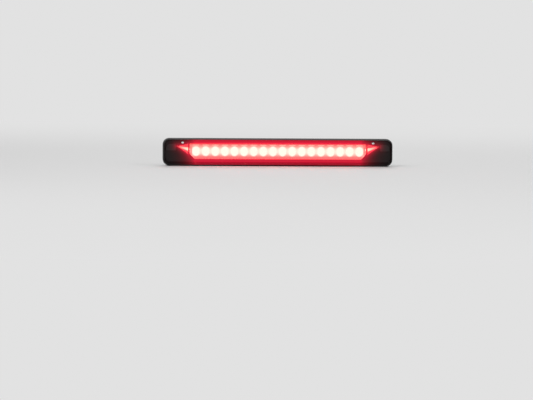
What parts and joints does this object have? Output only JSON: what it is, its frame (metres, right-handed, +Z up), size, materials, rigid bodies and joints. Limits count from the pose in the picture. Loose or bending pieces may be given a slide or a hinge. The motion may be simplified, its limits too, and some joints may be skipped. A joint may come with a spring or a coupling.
{
  "type": "third brake light",
  "caption": "Slim high-mount third brake light: lit red LED row with pointed lens ends in a dished black bezel, on a snap-in housing with spring clips and a rear plug socket.",
  "frame": {"origin": "centre of the LED row, in the plane where the foam seal meets the panel", "axes": "+X to the right as seen from behind the car, +Y forwards through the panel into the car, +Z up; the lens faces -Y"},
  "size_m": [0.274, 0.0551, 0.0328],
  "materials": {
    "bezel_black": "smooth glossy black moulding",
    "polished_steel": "polished screw heads",
    "lens_red": "polished transparent red",
    "guide_lit": "clear, lit red",
    "optic_lit": "clear, lit",
    "metallised_plastic": "vacuum metallised",
    "led_lit": "clear resin, lit",
    "led_white": "moulded white",
    "board_green": "solder mask",
    "zinc_steel": "zinc plated",
    "chip_black": "coated ceramic with tinned end caps",
    "diode_black": "moulded, with tinned leads",
    "capacitor_tan": "ceramic with tinned end caps",
    "tinned_brass": "tinned",
    "housing_black": "fine moulded grain",
    "foam_black": "closed-cell foam",
    "connector_grey": "moulded",
    "gasket_orange": "silicone",
    "membrane_white": "woven breathable film",
    "spring_steel": "rolled spring steel"
  },
  "bodies": {
    "lamp": {"front_bezel": "bezel_black", "bezel_screws": "polished_steel", "outer_lens": "lens_red", "end_light_guide_left": "guide_lit", "end_light_guide_right": "guide_lit", "pillow_optic": "optic_lit", "reflector": "metallised_plastic", "led_domes": "led_lit", "led_packages": "led_white", "circuit_board": "board_green", "board_screws": "zinc_steel", "series_resistors": "chip_black", "protection_diode": "diode_black", "filter_capacitor": "capacitor_tan", "terminal_blades": "tinned_brass", "rear_housing": "housing_black", "panel_seal": "foam_black", "connector_shell": "connector_grey", "connector_seal": "gasket_orange", "vent_membrane": "membrane_white", "clip_foot_left": "spring_steel", "clip_foot_right": "spring_steel", "clip_rivets": "zinc_steel"},
    "clip_left": {"clip_leaf_left": "spring_steel"},
    "clip_right": {"clip_leaf_right": "spring_steel"}
  },
  "joints": [
    {"name": "clip_left_press", "type": "hinge", "parent": "lamp", "child": "clip_left", "pos_m": [-0.11855, 0.02, 0], "axis": [0, 0, 1], "range_deg": [0, 11], "stiffness_Nm_per_rad": 1.5},
    {"name": "clip_right_press", "type": "hinge", "parent": "lamp", "child": "clip_right", "pos_m": [0.11855, 0.02, 0], "axis": [0, 0, -1], "range_deg": [0, 11], "stiffness_Nm_per_rad": 1.5}
  ]
}
